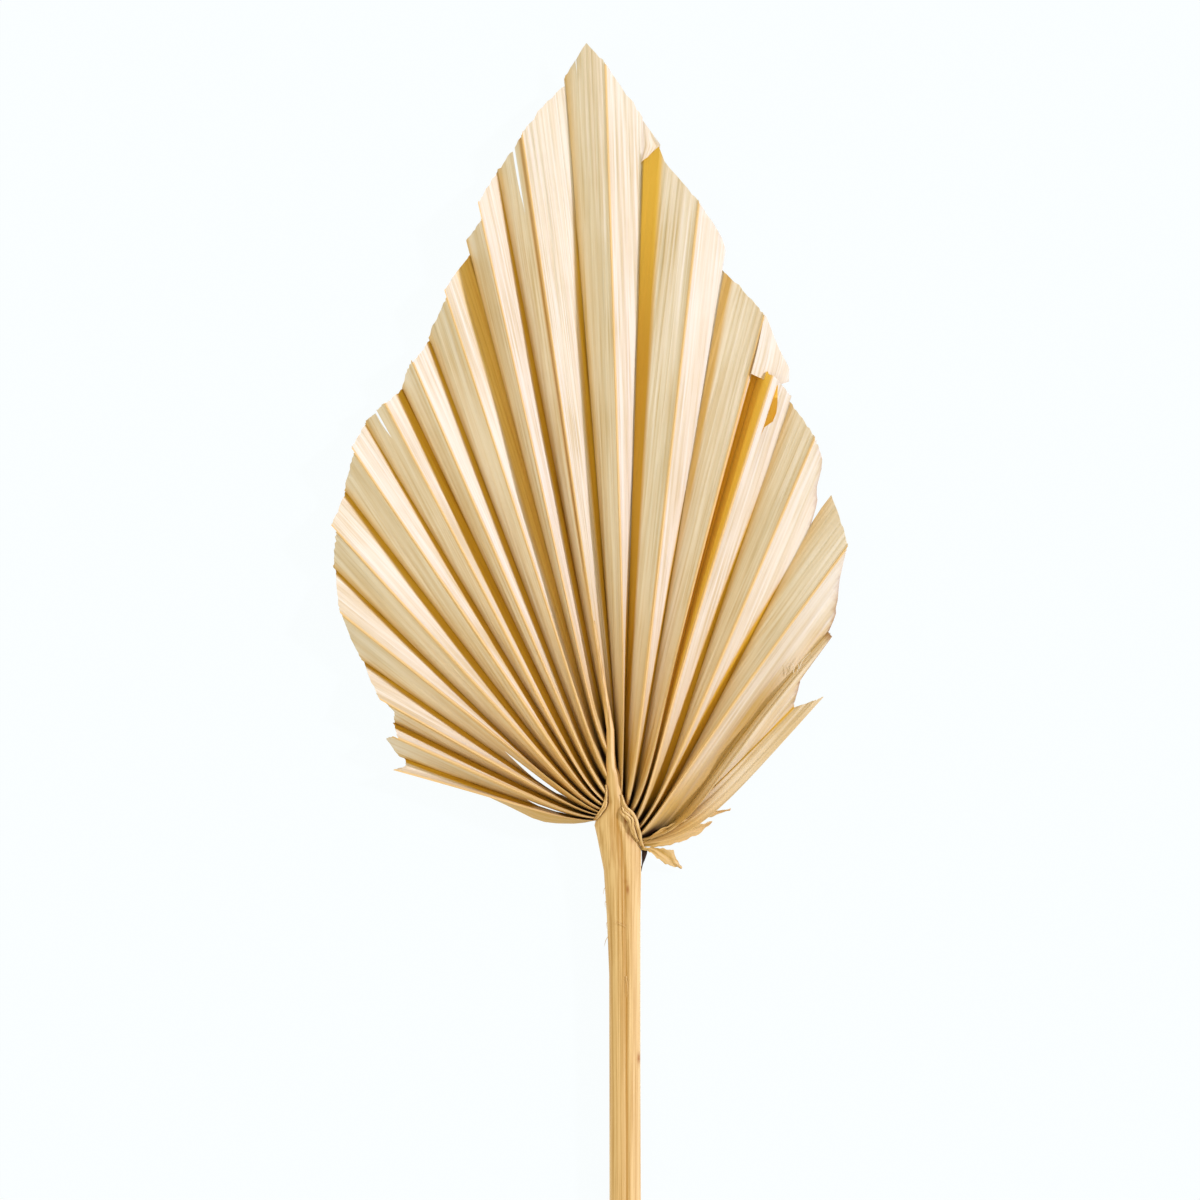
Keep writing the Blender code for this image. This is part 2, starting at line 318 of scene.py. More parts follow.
# The sheet behind the hole in the torn flap: its edges from the stalk side outward.
TONGUE = (
    ((29.6, 88.5, 1.0), (34.5, 103.0, 1.3), (37.0, 108.5, 1.5)),
    ((39.0, 91.5, 1.4), (42.2, 104.0, 1.9), (42.0, 107.0, 2.0)),
)

# Lit corners of the margin that show past a steep panel's torn top: two edges each.
CORNERS = {
    "corner_low": (
        ((34.3, 109.2, 7.9), (35.6, 114.0, 7.6), (36.8, 119.5, 7.3), (37.75, 124.2, 7.0)),
        ((41.0, 106.3, 3.4), (44.2, 107.4, 1.4), (44.3, 110.9, 1.2), (41.5, 116.0, 3.0), (38.2, 124.0, 6.5)),
    ),
    "corner_high": (
        ((4.8, 162.4, 3.2), (5.4, 168.0, 3.3), (5.9, 175.4, 3.4)),
        ((11.0, 167.4, 1.3), (11.15, 168.3, 1.2)),
    ),
}

# The torn strips low on the right: each one's lower edge, then its upper edge.
SCRAPS = {
    "scrap_upper": (
        ((6.2, -11.9, 6.6), (11.3, -12.0, 5.2), (16.0, -10.9, 4.4), (21.1, -8.8, 3.4), (24.4, -5.8, 2.6)),
        ((6.2, -11.2, 6.8), (12.0, -8.4, 5.6), (15.6, -7.3, 5.3), (19.4, -6.6, 4.6), (24.5, -5.5, 2.8)),
    ),
    "scrap_strip": (
        ((6.4, -11.0, 6.9), (12.0, -8.2, 5.9), (18.0, -6.2, 5.0), (22.4, -4.9, 4.4), (29.0, -2.7, 3.2)),
        ((6.4, -10.6, 7.2), (12.0, -6.9, 6.5), (18.0, -4.6, 5.6), (23.6, -2.9, 5.0), (29.3, -2.3, 3.4)),
    ),
    "scrap_lower": (
        ((6.2, -12.7, 6.0), (8.6, -13.3, 4.8), (9.9, -14.6, 4.0), (12.6, -16.6, 2.6), (16.6, -17.8, 1.3)),
        ((6.2, -12.0, 6.4), (10.2, -12.2, 5.2), (14.5, -12.9, 3.8), (15.2, -15.2, 2.6), (16.8, -17.5, 1.4)),
    ),
}

# What each point of the blade carries for its material: its rib, honey colour painted as shade, pit colour
# painted as shade, a painted amber glow, and scar colour that is partly painted shade.
PAINT = ("rib", "honey_and_shade", "pit_shade", "amber_glow", "scar_and_shade")

rng = np.random.default_rng(7)


def linear(code):
    """An sRGB hex colour as linear red, green, blue and alpha."""
    parts = [int(code[n:n + 2], 16) / 255 for n in (1, 3, 5)]
    return tuple(c / 12.92 if c <= 0.04045 else ((c + 0.055) / 1.055) ** 2.4 for c in parts) + (1.0,)


def length(name, description, default):
    return bpy.props.FloatProperty(
        name=name, description=description, default=default * MM, unit="LENGTH", subtype="DISTANCE")


def colour(name, description, code):
    return bpy.props.FloatVectorProperty(
        name=name, description=description, default=linear(code), size=4, subtype="COLOR", min=0.0, max=1.0)


class LeafSizes(bpy.types.PropertyGroup):
    """Sizes that a user would change."""
    lamina: length("Lamina", "Thickness of the dry sheet, straight up", 0.35)
    middle: length("Middle height", "The blade's middle surface above the floor", 4.9)
    depth: length("Fold depth", "Half of an average pleat's depth", 3.3)
    growth: length("Fold growth", "Distance over which the pleats open out", 48.0)
    bend_in: length("Bend in", "Distance over which a fold swings in to the stalk", 5.5)
    rib: length("Rib", "Half width of the raised rib along each ridge", 0.42)
    rib_foot: length("Rib foot", "Half width that each rib gains at the stalk", 0.52)
    vein: length("Vein spacing", "Distance between the fine parallel veins", 0.55)
    streak: length("Streak spacing", "Distance between the sheet's broader streaks", 1.7)
    fibre: length("Fibre spacing", "Distance between the stalk's lengthwise fibres", 0.5)


class LeafColours(bpy.types.PropertyGroup):
    """Colours of the dry leaf and its stage."""
    lamina: colour("Lamina", "Bleached sheet between the ribs", "#F8F0E4")
    vein: colour("Veins", "Darker lines between the fine veins", "#DAC49A")
    # Honey is painted shade. It goes where the next ridge's shadow falls and down into the folds. It also
    # tints the sheet near the stalk, on the flap and on the scraps.
    honey_and_shade: colour("Honey", "Unbleached sheet down in the folds", "#DDAA24")
    # Amber is a painted glow: a lit-through look, given as colour and a little emission.
    amber_glow: colour("Amber", "Glow of steep panels that are lit from behind", "#F4CC55")
    # The pit colour is painted shade: near-black where the ribs crowd together at the stalk, along the
    # valley creases, in the hollow beside the flap and at the scraps' feet.
    pit_shade: colour("Pit", "Dark tissue deep between the ribs at the stalk", "#301400")
    glow: colour("Glow", "Light that comes through the sheet", "#E8CE7E")
    rib: colour("Rib", "Golden ribs along the ridges", "#F2CE90")
    stalk: colour("Stalk", "Skin of the stalk", "#E1BE85")
    # stalk_dark is the darker fibres and also the colour of the painted shade along the groove
    stalk_dark: colour("Stalk fibres", "Darker fibres along the stalk", "#B4843A")
    # Scar colour is real brown scars and tears, and also painted shade: along the crimped panel's valley
    # edge, in the groove beside the midrib and under the crest strands.
    scar_and_shade: colour("Scar", "Brown scars and torn edges", "#9A5A18")
    splinter: colour("Splinter", "Nearly black bark of the splinter", "#2C1508")
    floor: colour("Floor", "Pale table under the leaf", "#FAFEFF")


def sizes():
    return bpy.context.scene.leaf_sizes


def colours():
    return bpy.context.scene.leaf_colours


# ---- geometry
def heading(angle):
    return np.array((math.cos(math.radians(angle)), math.sin(math.radians(angle))))


def broken_line(points, share):
    """The point at this share of a broken line's length."""
    pts = np.array(points, float)
    steps = np.linalg.norm(np.diff(pts, axis=0), axis=1)
    marks = np.concatenate(([0.0], np.cumsum(steps))) / steps.sum()
    return np.array([np.interp(share, marks, pts[:, k]) for k in range(pts.shape[1])])


def smooth(x):
    x = np.clip(x, 0.0, 1.0)
    return x * x * (3.0 - 2.0 * x)


def ramp(value, start, run):
    """Rises smoothly from 0 at the start to 1 a run farther on."""
    return smooth((value - start) / run)


def step(value, at, soft):
    """Rises smoothly from 0 to 1 across a soft edge."""
    return smooth((value - at) / soft + 0.5)


def fade(s, over):
    """Falls from 1 at the stalk toward 0 farther out."""
    return np.exp(-s / over)


def fold_foot(index):
    """Where a fold meets the stalk."""
    if index == MIDRIB + 1:
        return np.array((0.0, 7.4))
    low, high = FEET[index // 2], FEET[(index + 1) // 2]
    return (np.array(low) + np.array(high)) / 2.0


def fold_reach(index):
    return max(FOLDS[index].before, FOLDS[index].after)


def fold_course(index):
    """A fold's foot, the start of its straight run, and the run's direction."""
    end, course = heading(FOLDS[index].angle) * fold_reach(index), heading(FOLDS[index].run)
    foot = fold_foot(index)
    start = end - course * np.dot(end - foot, course)
    return foot, start, course


def fold_length(index):
    """How far along itself a fold runs before it reaches the margin."""
    _, start, course = fold_course(index)
    end = heading(FOLDS[index].angle) * fold_reach(index)
    return float(np.dot(end - start, course))


def fold_bend(index):
    """Distance over which a fold swings in to its foot; longer toward the right."""
    right = max(0, index - MIDRIB) / (len(FOLDS) - 1 - MIDRIB)
    return SWING.get(index, sizes().bend_in / MM * (1.0 + right ** 2))


def fold_height(index, s):
    """A fold's height at distances s along it, as a share of half a pleat's depth."""
    near = 1.0 - smooth(s / (UPRIGHT_FLAP if index >= FLAP else UPRIGHT))
    own, even = FOLDS[index].height, 1.0 if index % 2 == 0 else -1.0
    reach = fold_reach(index)
    flat = ramp(s, FLATTEN_FROM * reach, (1.0 - FLATTEN_FROM) * reach)
    own = own * (1.0 + (FLATTEN.get(index, 1.0) - 1.0) * flat)
    if index in SWELL:
        share, wave, crest = SWELL[index]
        own = own * (1.0 + share * np.cos(2.0 * math.pi * (s - crest) / wave))
    return own * (1 - near) + even * near


def fold_path(index, s):
    """Points on a fold at distances s (mm) along it, as x, y, z in mm."""
    foot, start, course = fold_course(index)
    flat = start + course * s[..., None] + (foot - start) * fade(s, fold_bend(index))[..., None]
    beside = np.array((course[1], -course[0]))
    swing = s / BOW_PEAK * np.exp(1.0 - s / BOW_PEAK)
    flat = flat + beside * (BOW.get(index, 0.0) * swing)[..., None]
    middle, depth = sizes().middle / MM, sizes().depth / MM
    if index % 2 == 0:
        z = middle + depth * fold_height(index, s) + 0.6 * fade(s, FOOT_LIFT) - 2.6 * fade(s, FOOT_DIP)
    else:
        opening = 1.0 - 0.75 * np.exp(-(s + 1.5) / (sizes().growth / MM))
        z = middle + depth * fold_height(index, s) * opening + 0.9 * fade(s, FOOT_LIFT)
    return np.concatenate((flat, z[..., None]), axis=-1)


def reach_distance(index, share, reach):
    """How far along the folds a point this far from the hub lies, between two folds."""
    _, start_a, course_a = fold_course(index)
    _, start_b, course_b = fold_course(index + 1)
    start = start_a + (start_b - start_a) * share[..., None]
    course = course_a + (course_b - course_a) * share[..., None]
    a = (course ** 2).sum(-1)
    b = (start * course).sum(-1)
    c = (start ** 2).sum(-1) - reach ** 2
    return (-b + np.sqrt(np.maximum(b * b - a * c, 0.0))) / a


# Columns across a panel: shares of the rib, then shares of what is left of it.
RIB_COLUMNS = (0.0, 0.3, 0.6, 0.85, 1.0, 1.3)
PANEL_COLUMNS = (0.05, 0.1, 0.18, 0.28, 0.39, 0.5, 0.61, 0.72, 0.82, 0.9, 0.96, 1.0)


def rib_width(s, width):
    """Half width of the rib on a ridge, limited where the panels are narrow."""
    wide = sizes().rib / MM + sizes().rib_foot / MM * fade(s, RIB_FADE)
    return np.minimum(wide, RIB_SHARE * width)


class Column:
    """One line of points running along a panel."""

    def __init__(self, rib=None, panel=0.0, side=0):
        self.rib = rib
        self.panel = panel
        self.side = side

    def across(self, s, width, splits=()):
        """How far the column lies from the ridge, in mm; a split crowds those beyond it."""
        wide = rib_width(s, width)
        if self.rib is not None:
            return self.rib * wide
        edge = RIB_COLUMNS[-1] * wide
        plain = edge + self.panel * (width - edge)
        for at, start, stop, open_width in splits:
            if self.panel > at or (self.panel == at and self.side > 0):
                t = np.clip((s - start) / (stop - start), 0.0, 1.0)
                room = (1.0 - at) * (width - edge)
                gap = open_width * np.sin(np.pi * t ** 0.7) ** 0.9  # widest nearer its start
                gap = np.minimum(gap, 0.8 * room)
                plain = plain + gap * (1.0 - self.panel) / (1.0 - at)
        return plain


def panel_columns(n):
    columns = [Column(rib=share) for share in RIB_COLUMNS]
    for share in PANEL_COLUMNS:
        columns.append(Column(panel=share))
    for panel, at, *_ in SPLITS:
        if panel == n:
            near = min(PANEL_COLUMNS[:-1], key=lambda share: abs(share - at))
            k = len(RIB_COLUMNS) + PANEL_COLUMNS.index(near)
            columns[k:k + 1] = [Column(panel=at, side=-1), Column(panel=at, side=1)]
    return columns


class Panel:
    """One flat side of a pleat, between fold n and fold n + 1."""

    def __init__(self, n):
        self.n = n
        self.ridge_left = n % 2 == 0
        self.columns = panel_columns(n)
        self.splits = [item[1:] for item in SPLITS if item[0] == n]
        inner = MARGINS.get(n, ())
        self.margin_at = np.array([0.0] + [m[0] for m in inner] + [1.0])
        self.margin_reach = np.array([FOLDS[n].after] + [m[1] for m in inner] + [FOLDS[n + 1].before])
        self.bulge = BELLY.get(n, rng.uniform(-0.02, 0.05))
        self.ripple = rng.uniform(0.0, TURN, 4)
        self.ragged = rng.normal(0.0, 1.0, 64)

    def width(self, s):
        a, b = fold_path(self.n, s), fold_path(self.n + 1, s)
        return np.linalg.norm((b - a)[..., :2], axis=-1)

    def share(self, s, column):
        """Share of the way from the left fold to the right one."""
        width = self.width(s)
        from_ridge = column.across(s, width, self.splits) / np.maximum(width, TINY)
        return from_ridge if self.ridge_left else 1.0 - from_ridge

    def end(self, k):
        """How far along column k the margin is, with a little raggedness."""
        column = self.columns[k]
        s = np.array([LONGEST * 0.5])
        for _ in range(5):
            share = self.share(s, column)
            reach = np.interp(share, self.margin_at, self.margin_reach)
            s = reach_distance(self.n, share, reach)
        inside = 0 < k < len(self.columns) - 1
        return float(s[0]) + (RAGGED * self.ragged[k] if inside else 0.0)

    def shade_edge(self, s):
        """Share of the way to the valley where the next ridge's shade begins."""
        run = math.radians(FOLDS[self.n].run - SUN_AZIMUTH)
        steep = math.tan(math.radians(SUN_ELEVATION)) / max(math.sin(run), 0.2)
        near, low, far = (fold_path(self.n + k, s) for k in (0, 1, 2))
        ridge, valley, next_ridge = near[:, 2], low[:, 2], far[:, 2]
        width = self.width(s)
        beyond = np.linalg.norm((far - low)[:, :2], axis=-1)
        edge = (ridge - next_ridge + (width + beyond) * steep) / (ridge - valley + width * steep)
        past_end = step(s, fold_length(self.n + 2), 2.0)
        return np.clip(edge, 0.1, NO_SHADE) * (1.0 - past_end) + NO_SHADE * past_end

    def height(self, s, x, width, rib, ridge, valley):
        """Height across the panel: rounded at the ridge and straight down to the valley,
        with the belly and the ripples of a dry sheet."""
        drop = ridge - valley
        e = RIDGE_ROUND * rib / np.maximum(width, TINY)
        slope = (np.sqrt(x * x + e * e) - e) / (np.sqrt(1.0 + e * e) - e)
        if self.n == CRIMPED:
            knee = np.clip(1.0 - 0.19 * width / drop, 0.3, 0.85)
            past = knee + (1.0 - knee) * (x - CRIMP) / (1.0 - CRIMP)
            bent = np.where(x < CRIMP, knee * x / CRIMP, past)
            slope = slope + (bent - slope) * ramp(s, 15.0, 40.0)
        z = ridge - drop * slope
        z += self.bulge * width * 4.0 * x * (1.0 - x)
        wave = np.sin(s / 9.0 + self.ripple[0]) + 0.6 * np.sin(s / 4.3 + self.ripple[1] + 4.0 * x)
        z += RIPPLE * wave * np.minimum(1.0, width / 5.0) * np.sin(np.pi * x)
        return z

    def bead(self, s, d, rib):
        """How much of the raised rib each point carries."""
        bead = np.sqrt(np.maximum(0.0, 1.0 - (d / np.maximum(rib, TINY)) ** 2))
        if (self.n if self.ridge_left else self.n + 1) in BARE:
            bead = bead * fade(s, 12.0)
        return bead

    def shade(self, s, x):
        """Painted shade: honey colour where a panel lies in its neighbour's shadow or runs into a fold, and
        honey colour near the stalk.
        """
        if self.ridge_left:
            soft, most = SHADE.get(self.n, (0.14, 1.0))
            # painted shadow: honey colour from where the next ridge's shadow begins, found from the sun's
            # direction
            honey_and_shade = most * step(x, self.shade_edge(s) - 0.06, soft)
            if self.n == CRIMPED - 1:
                honey_and_shade = honey_and_shade * (1.0 - ramp(s, 40.0, 30.0))
        else:
            # painted shade on the shaded side of the pleat, next to its valley
            honey_and_shade = 0.6 * ramp(x, 0.7, 0.3)
        return np.maximum(honey_and_shade, 0.75 * fade(np.maximum(s - 12.0, 0.0), 18.0))

    def paint(self, s, x, d, share, stop):
        """How much painted shade (honey and pit colour), painted amber glow and scar colour, partly painted
        shade, each point carries.
        """
        honey_and_shade = self.shade(s, x)
        start, strength = AMBER_GLOW.get(self.n, (0.0, 0.0))
        # painted glow
        amber_glow = strength * step(share, start, 0.1) * ramp(s, 6.0, 30.0)
        # painted shade along each valley's crease, and deep between the ribs at the stalk
        crease_shade = (0.0 if self.n > FLAP else 0.3) * ramp(x, 0.93, 0.07) * fade(s, 110.0)
        foot = ramp(x, 0.15 if self.ridge_left else 0.4, 0.5) * fade(np.maximum(s - 4.0, 0.0), 8.0)
        pit_shade = np.maximum(foot, crease_shade)
        scar_and_shade = np.zeros_like(s)
        # painted glow only where this panel carries painted shade
        if self.n == HALF_AMBER:
            amber_glow = amber_glow * honey_and_shade * (1.0 - step(s, fold_length(TORN_RIDGE) - 3.0, 2.0))
        # The steep far part stands in shade: honey colour painted on it as shade, a painted amber glow
        # toward the margin, and painted shade along its valley edge.
        if self.n == CRIMPED:
            steep = step(x, CRIMP, 0.03)
            honey_and_shade = np.maximum(honey_and_shade, steep)
            amber_glow = 0.7 * steep * ramp(s, 100.0, 60.0)
            scar_and_shade = 0.3 * steep * (1.0 - ramp(s, 110.0, 50.0)) + 0.4 * ramp(x, 0.96, 0.04)
        # painted shade: a honey band beside this panel's valley
        if self.n == BANDED:
            honey_and_shade = np.maximum(honey_and_shade, 0.75 * ramp(x, 0.76, 0.06) * ramp(s, 50.0, 40.0))
        # a honey tint over the flap, with painted shade beside its valleys
        if self.n >= FLAP:
            honey_and_shade = np.maximum(honey_and_shade, np.maximum(0.26, ramp(x, 0.88, 0.1)))
        if self.n == HOLLOW:
            # painted shade in the hollow beside the flap
            hollow_shade = ramp(x, 0.3, 0.4) * (1.0 - ramp(s, 44.0, 24.0))
            honey_and_shade, pit_shade = np.maximum(honey_and_shade, 0.75 * hollow_shade), np.maximum(pit_shade, 0.3 * hollow_shade)
        # painted shade: a dark line in the groove beside the midrib, with honey colour along the ridge
        if self.n == MIDRIB - 1:
            scar_and_shade = 0.85 * np.exp(-((d - 0.75) / 0.24) ** 2) * ramp(s, 30.0, 30.0)
            honey_and_shade = np.maximum(honey_and_shade, 0.6 * smooth((2.0 - d) / 1.2))
        if self.n in TORN:
            torn = np.interp(share, (0.0, 1.0), TORN[self.n])
            scar_and_shade = np.maximum(scar_and_shade, torn * fade(np.maximum(stop - s, 0.0), 0.7))
        return honey_and_shade, pit_shade, amber_glow, scar_and_shade

    def surface(self, s, column, stop):
        """The column's points, and what the material needs to know about them."""
        left, right = fold_path(self.n, s), fold_path(self.n + 1, s)
        width, share = self.width(s), self.share(s, column)
        d = column.across(s, width, self.splits)
        x = d / np.maximum(width, TINY)
        rib = rib_width(s, width)
        bead = self.bead(s, d, rib)
        ridge, valley = (left, right) if self.ridge_left else (right, left)
        point = left + (right - left) * share[:, None]
        point[:, 2] = self.height(s, x, width, rib, ridge[:, 2], valley[:, 2]) + bead * rib * RIB_RISE
        paint = self.paint(s, x, d, share, stop)
        return point, np.stack((bead, *paint, d, s, self.n + share), axis=-1)


def build_panel(n, points, faces, marks):
    """Adds one panel's grid of points and faces to the lists."""
    panel = Panel(n)
    stations = LONGEST * (np.arange(ROWS) / (ROWS - 1)) ** ROW_BIAS
    base, runs = len(points), []
    for k, column in enumerate(panel.columns):
        stop = panel.end(k)
        s = np.minimum(stations, stop)
        point, mark = panel.surface(s, column, stop)
        points.extend(map(tuple, point))
        marks.extend(map(tuple, mark))
        runs.append(s)
    for c in range(len(panel.columns) - 1):
        if panel.columns[c].side < 0 < panel.columns[c + 1].side:
            continue
        for k in range(ROWS - 1):
            if runs[c][k] >= runs[c][k + 1] and runs[c + 1][k] >= runs[c + 1][k + 1]:
                break
            left, right = base + c * ROWS + k, base + (c + 1) * ROWS + k
            corners = [left, right, right + 1, left + 1]
            faces.append(corners if panel.ridge_left else corners[::-1])


def set_values(mesh, word, values):
    """Gives every point of a mesh a number, for the material to read."""
    layer = mesh.attributes.new(word, "FLOAT", "POINT")
    layer.data.foreach_set("value", values)


def mesh_from(bm, name):
    """Turns a bmesh into a smooth mesh with its faces outward."""
    bmesh.ops.recalc_face_normals(bm, faces=bm.faces)
    mesh = bpy.data.meshes.new(name)
    bm.to_mesh(mesh)
    bm.free()
    mesh.shade_smooth()
    return mesh


def merged_mesh(name, points, faces, marks):
    """One closed sheet from the panels' grids: shared points become one."""
    keys, where, verts, kept = {}, [], [], []
    for p, m in zip(points, marks):
        key = tuple(round(c * WELD) for c in p)
        if key not in keys:
            keys[key] = len(verts)
            verts.append(p)
            kept.append(m)
        where.append(keys[key])
    clean, seen = [], set()
    for face in faces:
        ring = []
        for v in (where[i] for i in face):
            if not ring or ring[-1] != v:
                ring.append(v)
        if ring[0] == ring[-1]:
            ring.pop()
        if len(set(ring)) == len(ring) and len(ring) > 2 and frozenset(ring) not in seen:
            seen.add(frozenset(ring))
            clean.append(ring)
    origin = Vector(HUB)
    mesh = bpy.data.meshes.new(name)
    mesh.from_pydata([Vector(v) * MM + origin for v in verts], [], clean)
    for column, word in enumerate(PAINT):
        set_values(mesh, word, [float(m[column]) for m in kept])
    layer = mesh.attributes.new("grain", "FLOAT_VECTOR", "POINT")
    layer.data.foreach_set("vector", [float(c) for m in kept for c in m[5:8]])
    bm = bmesh.new()
    bm.from_mesh(mesh)
    bmesh.ops.recalc_face_normals(bm, faces=bm.faces)
    if sum(f.normal.z for f in bm.faces) < 0:
        bmesh.ops.reverse_faces(bm, faces=bm.faces)
    grown = bmesh.ops.extrude_face_region(bm, geom=list(bm.faces))
    top = [item for item in grown["geom"] if isinstance(item, bmesh.types.BMVert)]
    for vert in bm.verts:
        vert.co.z -= sizes().lamina / 2.0
    bmesh.ops.translate(bm, verts=top, vec=(0.0, 0.0, sizes().lamina))
    bm.faces.sort(key=lambda face: face.calc_center_median().dot(FACE_ORDER))
    bmesh.ops.recalc_face_normals(bm, faces=bm.faces)
    bm.to_mesh(mesh)
    bm.free()
    mesh.shade_smooth()
    mesh.set_sharp_from_angle(angle=math.radians(70))
    return mesh


def link(name, mesh, mat, whole):
    """Puts a finished piece into the scene, on the leaf's one body."""
    if not mesh.polygons:
        raise RuntimeError(name + " has no faces")
    obj = bpy.data.objects.new(name, mesh)
    bpy.context.scene.collection.objects.link(obj)
    mesh.materials.append(mat)
    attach(obj, "root")
    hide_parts(whole)


# ---- materials
def node(tree, kind, links=(), **settings):
    """Adds a node; settings name its properties or sockets, links feed its sockets, each from
    an output or from another node's first output."""
    made = tree.nodes.new(kind)
    for key, value in settings.items():
        if hasattr(made, key):
            setattr(made, key, value)
        else:
            made.inputs[key.replace("_", " ")].default_value = value
    for socket, source in dict(links).items():
        source = source if isinstance(source, bpy.types.NodeSocket) else source.outputs[0]
        tree.links.new(source, made.inputs[socket])
    return made


def mix(tree, share, first, second):
    """Blends two colours; each is a plain colour or another node's output."""
    made = node(tree, "ShaderNodeMix", {"Factor": share}, data_type="RGBA")
    for socket, value in ((6, first), (7, second)):
        if isinstance(value, bpy.types.NodeSocket):
            tree.links.new(value, made.inputs[socket])
        else:
            made.inputs[socket].default_value = value
    return made.outputs[2]


def carried(tree, word, output="Fac"):
    """A number or vector that the mesh carries at each point."""
    return node(tree, "ShaderNodeAttribute", attribute_name=word).outputs[output]


def material(build):
    """Makes a material out of a function that builds its surface, once, under its name."""
    def made():
        mat = bpy.data.materials.get(build.__name__)
        if mat is None:
            mat = bpy.data.materials.new(build.__name__)
            mat.use_nodes = True
            mat.node_tree.nodes.clear()
            surface = build(mat.node_tree)
            node(mat.node_tree, "ShaderNodeOutputMaterial", {"Surface": surface})
        return mat
    return made


@material
def dried_lamina(tree):
    """Dried, bleached palm lamina: a matt sheet with fine parallel veins and golden ribs on the ridges, with
    honey colour painted as shade in the folds and under the next ridge's shadow, painted dark shade between
    the ribs at the stalk and a painted amber glow on steep panels; strong light comes through it."""
    tone = colours()
    rib, honey_and_shade, pit_shade, amber_glow, scar_and_shade = (carried(tree, word) for word in PAINT)
    # The grain is mm across the panel, mm along it and the panel's number.
    grain = carried(tree, "grain", "Vector")
    lay = node(tree, "ShaderNodeVectorMath", {0: grain}, operation="MULTIPLY")
    lay.inputs[1].default_value = (MM / sizes().vein, 0.03, 1.5)
    veins = node(tree, "ShaderNodeTexNoise", {"Vector": lay}, Scale=1.0, Detail=2.0, Roughness=0.55)
    broad = node(tree, "ShaderNodeVectorMath", {0: grain}, operation="MULTIPLY")
    broad.inputs[1].default_value = (MM / sizes().streak, 0.018, 2.3)
    streaks = node(tree, "ShaderNodeTexNoise", {"Vector": broad}, Scale=1.0, Detail=1.0, Roughness=0.5)
    place = node(tree, "ShaderNodeTexCoord").outputs["Object"]
    mottle = node(tree, "ShaderNodeTexNoise", {"Vector": place}, Scale=45.0, Detail=3.0, Roughness=0.55)
    line = node(tree, "ShaderNodeMapRange", {"Value": veins},
                From_Min=0.40, From_Max=0.68, To_Min=0.0, To_Max=0.9)
    patch = node(tree, "ShaderNodeMapRange", {"Value": mottle},
                 From_Min=0.35, From_Max=0.65, To_Min=0.35, To_Max=1.0)
    amount = node(tree, "ShaderNodeMath", {0: line, 1: patch}, operation="MULTIPLY")
    wide = node(tree, "ShaderNodeMapRange", {"Value": streaks},
                From_Min=0.45, From_Max=0.75, To_Min=0.0, To_Max=0.5)
    base = tone.lamina
    # the honey, amber and pit mixes are painted shade and painted glow; the scar mix is real scars and some
    # painted shade
    for share, over in ((wide, tone.vein), (amount, tone.vein), (honey_and_shade, tone.honey_and_shade), (amber_glow, tone.amber_glow),
                        (rib, tone.rib), (scar_and_shade, tone.scar_and_shade), (pit_shade, tone.pit_shade)):
        base = mix(tree, share, base, over)
    swell = node(tree, "ShaderNodeBump", {"Height": streaks}, Strength=1.0, Distance=0.9 * MM)
    bump = node(tree, "ShaderNodeBump", {"Height": veins, "Normal": swell},
                Strength=0.6, Distance=0.22 * MM)
    # painted glow: the amber marks also give off a little light
    shine = node(tree, "ShaderNodeMath", {0: amber_glow}, operation="MULTIPLY")
    shine.inputs[1].default_value = 0.06
    skin = node(tree, "ShaderNodeBsdfPrincipled",
                {"Base Color": base, "Normal": bump, "Emission Strength": shine},
                Roughness=0.62, IOR=1.45, Emission_Color=tone.amber_glow)
    glow = node(tree, "ShaderNodeBsdfTranslucent", Color=tone.glow)
    # less light comes through where the pit's painted shade lies
    thin = node(tree, "ShaderNodeMapRange", {"Value": pit_shade},
                From_Min=0.0, From_Max=0.35, To_Min=0.22, To_Max=0.0)
    return node(tree, "ShaderNodeMixShader", {0: thin, 1: skin, 2: glow})


@material
def dried_stalk(tree):
    """Dried palm stalk: satin woody skin with straight lengthwise fibres, and darker colour
    painted as shade along the groove where the top's two flats meet."""
    tone = colours()
    place = node(tree, "ShaderNodeTexCoord").outputs["Object"]
    lay = node(tree, "ShaderNodeMapping", {"Vector": place},
               Scale=(1.0 / sizes().fibre, 22.0, 0.6 / sizes().fibre))
    fibres = node(tree, "ShaderNodeTexNoise", {"Vector": lay}, Scale=1.0, Detail=3.0)
    line = node(tree, "ShaderNodeMapRange", {"Value": fibres},
                From_Min=0.40, From_Max=0.72, To_Min=0.0, To_Max=0.85)
    # fibres, and painted shade along the groove
    dark = node(tree, "ShaderNodeMath", {0: line, 1: carried(tree, "groove_shade")},
                operation="ADD", use_clamp=True)
    base = mix(tree, dark, tone.stalk, tone.stalk_dark)
    base = mix(tree, carried(tree, "scar_and_shade"), base, tone.scar_and_shade)
    bump = node(tree, "ShaderNodeBump", {"Height": fibres}, Strength=0.5, Distance=0.3 * MM)
    return node(tree, "ShaderNodeBsdfPrincipled", {"Base Color": base, "Normal": bump},
                Roughness=0.5, IOR=1.45)


@material
def dark_splinter(tree):
    """Weathered palm bark: nearly black, rough and dull."""
    return node(tree, "ShaderNodeBsdfPrincipled", Base_Color=colours().splinter, Roughness=0.8, IOR=1.45)


@material
def light_table(tree):
    """Opal light table: glows evenly, so that only the faintest shade falls on it."""
    glow = node(tree, "ShaderNodeEmission", Color=colours().floor, Strength=1.0)
    matt = node(tree, "ShaderNodeBsdfDiffuse", Color=colours().floor)
    return node(tree, "ShaderNodeMixShader", {1: glow, 2: matt}, Fac=0.025)


